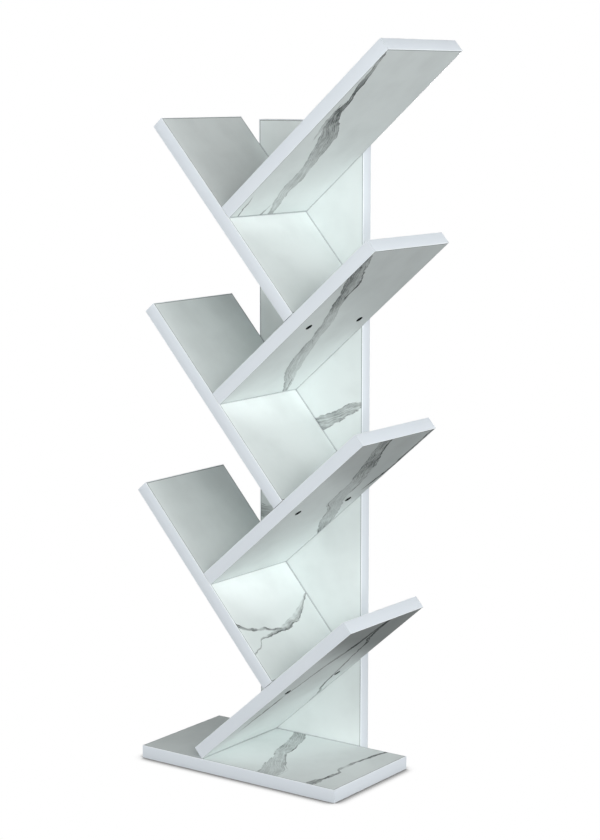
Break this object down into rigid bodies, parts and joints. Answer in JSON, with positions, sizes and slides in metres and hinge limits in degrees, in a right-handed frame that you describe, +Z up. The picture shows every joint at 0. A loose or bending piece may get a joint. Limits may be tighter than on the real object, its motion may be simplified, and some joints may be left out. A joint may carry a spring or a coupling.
{
  "type": "tree shaped bookshelf",
  "caption": "Free-standing tree shaped bookshelf: sloping marble print boards branch left and right from each other in front of a narrow back panel on a flat base.",
  "frame": {"origin": "middle of the base board's underside", "axes": "+Z up, front edges of the boards towards -Y, back panel at +Y, top shelf rising towards +X"},
  "size_m": [0.3354, 0.1593, 0.8163],
  "materials": {
    "marble_board": "satin melamine faced chipboard with a white marble print",
    "edge_band": "plain white edge banding",
    "screw_steel": "dark plated steel"
  },
  "bodies": {
    "root": {"base_board": "marble_board", "back_board": "marble_board", "right_1_board": "marble_board", "right_2_board": "marble_board", "right_3_board": "marble_board", "right_4_board": "marble_board", "left_1_board": "marble_board", "left_2_board": "marble_board", "left_3_board": "marble_board", "base_edge_band": "edge_band", "back_edge_band": "edge_band", "right_1_edge_band": "edge_band", "right_2_edge_band": "edge_band", "right_3_edge_band": "edge_band", "right_4_edge_band": "edge_band", "left_1_edge_band": "edge_band", "left_2_edge_band": "edge_band", "left_3_edge_band": "edge_band", "base_panel_screw_left": "screw_steel", "base_panel_screw_right": "screw_steel", "right_1_joint_screw_front": "screw_steel", "right_1_joint_screw_rear": "screw_steel", "right_1_panel_screw_lower": "screw_steel", "right_1_panel_screw_upper": "screw_steel", "right_2_joint_screw_front": "screw_steel", "right_2_joint_screw_rear": "screw_steel", "right_2_panel_screw_lower": "screw_steel", "right_2_panel_screw_upper": "screw_steel", "right_3_joint_screw_front": "screw_steel", "right_3_joint_screw_rear": "screw_steel", "right_3_panel_screw_lower": "screw_steel", "right_3_panel_screw_upper": "screw_steel", "right_4_panel_screw_lower": "screw_steel", "right_4_panel_screw_upper": "screw_steel", "left_1_joint_screw_front": "screw_steel", "left_1_joint_screw_rear": "screw_steel", "left_1_panel_screw_lower": "screw_steel", "left_1_panel_screw_upper": "screw_steel", "left_2_joint_screw_front": "screw_steel", "left_2_joint_screw_rear": "screw_steel", "left_2_panel_screw_lower": "screw_steel", "left_2_panel_screw_upper": "screw_steel", "left_3_joint_screw_front": "screw_steel", "left_3_joint_screw_rear": "screw_steel", "left_3_panel_screw_lower": "screw_steel", "left_3_panel_screw_upper": "screw_steel"}
  },
  "joints": []
}
